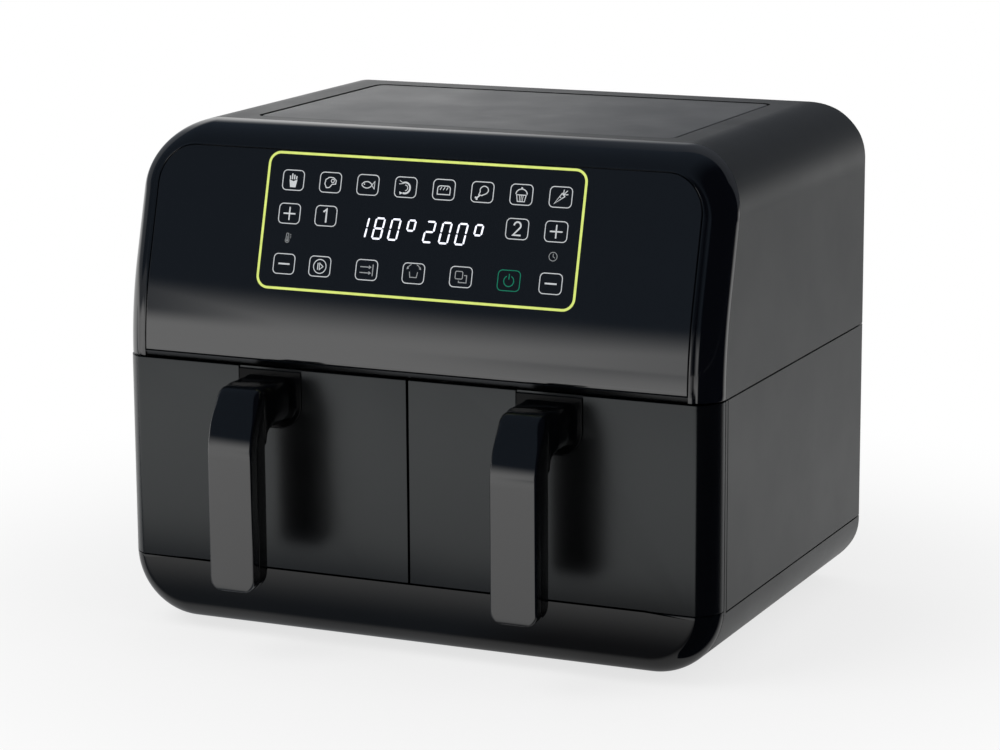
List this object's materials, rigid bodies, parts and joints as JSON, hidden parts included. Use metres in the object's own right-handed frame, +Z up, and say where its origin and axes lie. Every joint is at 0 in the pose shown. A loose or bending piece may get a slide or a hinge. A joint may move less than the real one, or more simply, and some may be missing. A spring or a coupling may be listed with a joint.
{
  "type": "two-drawer air fryer",
  "caption": "Tabletop hot-air fryer with two side-by-side pull-out drawers under a leaning touch panel, each drawer with a lift-out crisper plate and its own heater and fan.",
  "frame": {"origin": "centre of the whole part's bounding box in plan, on the surface that the feet stand on", "axes": "+X to the part's right seen from the front, +Y to the back, +Z up; the handles face -Y"},
  "size_m": [0.38, 0.322, 0.305],
  "materials": {
    "housing_plastic": "satin black",
    "gloss_black": "high gloss black",
    "fascia_black": "gloss black panel with printed symbols",
    "drawer_black": "satin-gloss black",
    "top_grey": "fine matt dark grey",
    "grille_plastic": "matt black",
    "foot_rubber": "matt black",
    "bumper_silicone": "matt silicone",
    "screw_steel": "zinc plated",
    "liner_steel": "bright sheet steel",
    "element_steel": "heat-darkened tube",
    "fan_aluminium": "plain pressed sheet",
    "motor_metal": "grey motor can",
    "pan_coating": "dark non-stick coating",
    "circuit_board": "green lacquered board",
    "dark_component": "moulded dark plastic",
    "switch_button": "moulded red plastic"
  },
  "bodies": {
    "housing": {"upper_housing": "housing_plastic", "side_panel_left": "housing_plastic", "side_panel_right": "housing_plastic", "rear_panel": "housing_plastic", "base_tray": "housing_plastic", "front_skirt": "gloss_black", "front_frame": "housing_plastic", "front_bezel": "gloss_black", "control_fascia": "fascia_black", "top_panel": "top_grey", "rubber_feet": "foot_rubber", "housing_screws": "screw_steel", "rear_vent_grille": "grille_plastic", "grille_screws": "screw_steel", "cord_gland": "foot_rubber", "chamber_liner_left": "liner_steel", "chamber_liner_right": "liner_steel", "heater_baffles": "liner_steel", "heating_element_left": "element_steel", "heating_element_right": "element_steel", "heat_shield": "liner_steel", "motor_brackets": "liner_steel", "fan_motors": "motor_metal", "temperature_sensors": "screw_steel", "thermal_cutouts": "liner_steel", "control_board": "circuit_board", "display_module": "dark_component", "touch_pads": "screw_steel", "board_posts": "dark_component", "power_board": "circuit_board", "power_parts": "dark_component", "power_posts": "dark_component", "drawer_switches": "dark_component"},
    "drawer_left": {"drawer_front_left": "drawer_black", "drawer_back_panel_left": "dark_component", "handle_plate_left": "gloss_black", "handle_core_left": "gloss_black", "handle_cover_left": "gloss_black", "handle_screws_left": "screw_steel", "pan_left": "pan_coating"},
    "crisper_left": {"crisper_plate_left": "pan_coating", "plate_bumpers_left": "bumper_silicone"},
    "fan_left": {"fan_shaft_left": "screw_steel", "hot_fan_left": "fan_aluminium", "cooling_fan_left": "fan_aluminium"},
    "plunger_left": {"switch_plunger_left": "switch_button"},
    "drawer_right": {"drawer_front_right": "drawer_black", "drawer_back_panel_right": "dark_component", "handle_plate_right": "gloss_black", "handle_core_right": "gloss_black", "handle_cover_right": "gloss_black", "handle_screws_right": "screw_steel", "pan_right": "pan_coating"},
    "crisper_right": {"crisper_plate_right": "pan_coating", "plate_bumpers_right": "bumper_silicone"},
    "fan_right": {"fan_shaft_right": "screw_steel", "hot_fan_right": "fan_aluminium", "cooling_fan_right": "fan_aluminium"},
    "plunger_right": {"switch_plunger_right": "switch_button"}
  },
  "joints": [
    {"name": "drawer_left_slide", "type": "slide", "parent": "housing", "child": "drawer_left", "axis": [0, -1, 0], "range_m": [0, 0.2]},
    {"name": "crisper_left_lift", "type": "slide", "parent": "drawer_left", "child": "crisper_left", "axis": [0, 0, 1], "range_m": [0, 0.09]},
    {"name": "fan_left_spin", "type": "hinge", "parent": "housing", "child": "fan_left", "pos_m": [-0.092, 0.0092, 0.19], "axis": [0, 0, 1], "continuous": true},
    {"name": "plunger_left_slide", "type": "slide", "parent": "housing", "child": "plunger_left", "axis": [0, -1, 0], "range_m": [0, 0.0025]},
    {"name": "drawer_right_slide", "type": "slide", "parent": "housing", "child": "drawer_right", "axis": [0, -1, 0], "range_m": [0, 0.2]},
    {"name": "crisper_right_lift", "type": "slide", "parent": "drawer_right", "child": "crisper_right", "axis": [0, 0, 1], "range_m": [0, 0.09]},
    {"name": "fan_right_spin", "type": "hinge", "parent": "housing", "child": "fan_right", "pos_m": [0.092, 0.0092, 0.19], "axis": [0, 0, 1], "continuous": true},
    {"name": "plunger_right_slide", "type": "slide", "parent": "housing", "child": "plunger_right", "axis": [0, -1, 0], "range_m": [0, 0.0025]}
  ],
  "couplings": [
    {"joint": "plunger_left_slide", "follows": "drawer_left_slide", "ratio": 0.0125},
    {"joint": "plunger_right_slide", "follows": "drawer_right_slide", "ratio": 0.0125}
  ]
}
